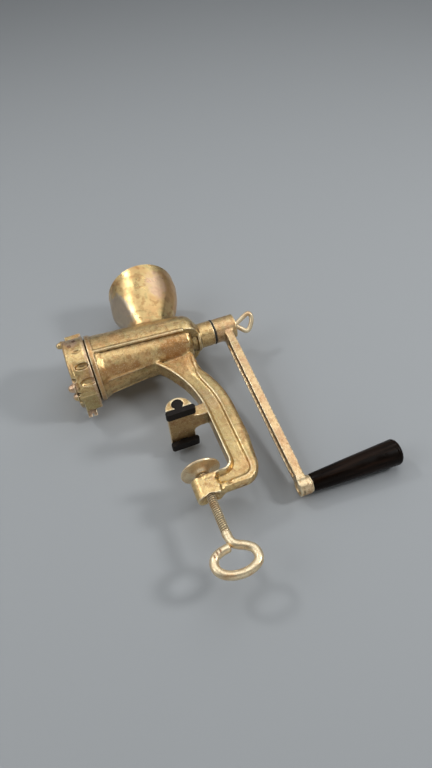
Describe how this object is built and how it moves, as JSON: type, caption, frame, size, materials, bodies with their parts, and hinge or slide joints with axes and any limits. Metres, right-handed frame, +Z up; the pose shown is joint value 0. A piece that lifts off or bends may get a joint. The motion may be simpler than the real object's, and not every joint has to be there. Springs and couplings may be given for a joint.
{
  "type": "hand crank meat grinder",
  "caption": "Table-clamp meat grinder: cast body with hopper and C-frame, feed screw, knife, plate under a ring nut, and a crank with a turning grip.",
  "frame": {"origin": "middle of the jaw's contact plane, where the clamp screw's axis meets the table's top face", "axes": "+Z up the clamp screw's axis to the hopper, +X along the barrel from the ring nut to the crank"},
  "size_m": [0.2524, 0.0712, 0.3291],
  "materials": {
    "tinned_iron": "worn tinned casting, bright, with warm tarnish",
    "steel": "worn plated steel",
    "black_rubber": "matt black",
    "black_fibre": "pressed fibre",
    "dark_wood": "dark lacquered, turned"
  },
  "bodies": {
    "frame": {"grinder_body": "tinned_iron", "plate_key": "steel", "pad_front": "black_rubber", "pad_rear": "black_rubber"},
    "feed": {"feed_screw": "tinned_iron", "knife_stud": "steel", "knife": "steel", "thrust_washer": "black_fibre"},
    "crank": {"crank_arm": "tinned_iron", "handle_spindle": "steel", "grip_washer": "steel"},
    "grip": {"handle_grip": "dark_wood"},
    "thumb": {"thumbscrew": "steel"},
    "plate": {"grinding_plate": "steel"},
    "nut": {"ring_nut": "tinned_iron"},
    "press": {"pressure_plate": "steel"},
    "screw": {"clamp_screw": "steel"}
  },
  "joints": [
    {"name": "crank_spin", "type": "hinge", "parent": "frame", "child": "feed", "pos_m": [0, 0, 0.102], "axis": [-1, 0, 0], "continuous": true},
    {"name": "crank_pull", "type": "slide", "parent": "feed", "child": "crank", "axis": [1, 0, 0], "range_m": [0, 0.012]},
    {"name": "thumbscrew_turn", "type": "hinge", "parent": "crank", "child": "thumb", "pos_m": [0.09, 0, 0.102], "axis": [1, 0, 0], "range_deg": [0, 4320]},
    {"name": "grip_spin", "type": "hinge", "parent": "crank", "child": "grip", "pos_m": [0.12, 0.02194, -0.07666], "axis": [1, 0, 0], "continuous": true},
    {"name": "plate_pull", "type": "slide", "parent": "frame", "child": "plate", "axis": [-1, 0, 0], "range_m": [0, 0.0132]},
    {"name": "ring_nut_turn", "type": "hinge", "parent": "plate", "child": "nut", "pos_m": [-0.068, 0, 0.102], "axis": [-1, 0, 0], "range_deg": [0, 1584]},
    {"name": "plate_lift", "type": "slide", "parent": "frame", "child": "press", "axis": [0, 0, 1], "range_m": [-0.003, 0.03625]},
    {"name": "clamp_screw_turn", "type": "hinge", "parent": "press", "child": "screw", "pos_m": [0, 0, -0.08], "axis": [0, 0, 1], "range_deg": [-600, 7250]}
  ],
  "couplings": [
    {"joint": "thumbscrew_turn", "follows": "crank_pull", "rad_per_m": 6283.2},
    {"joint": "plate_pull", "follows": "ring_nut_turn", "m_per_rad": 0.00047746},
    {"joint": "plate_lift", "follows": "clamp_screw_turn", "m_per_rad": 0.00028648}
  ]
}
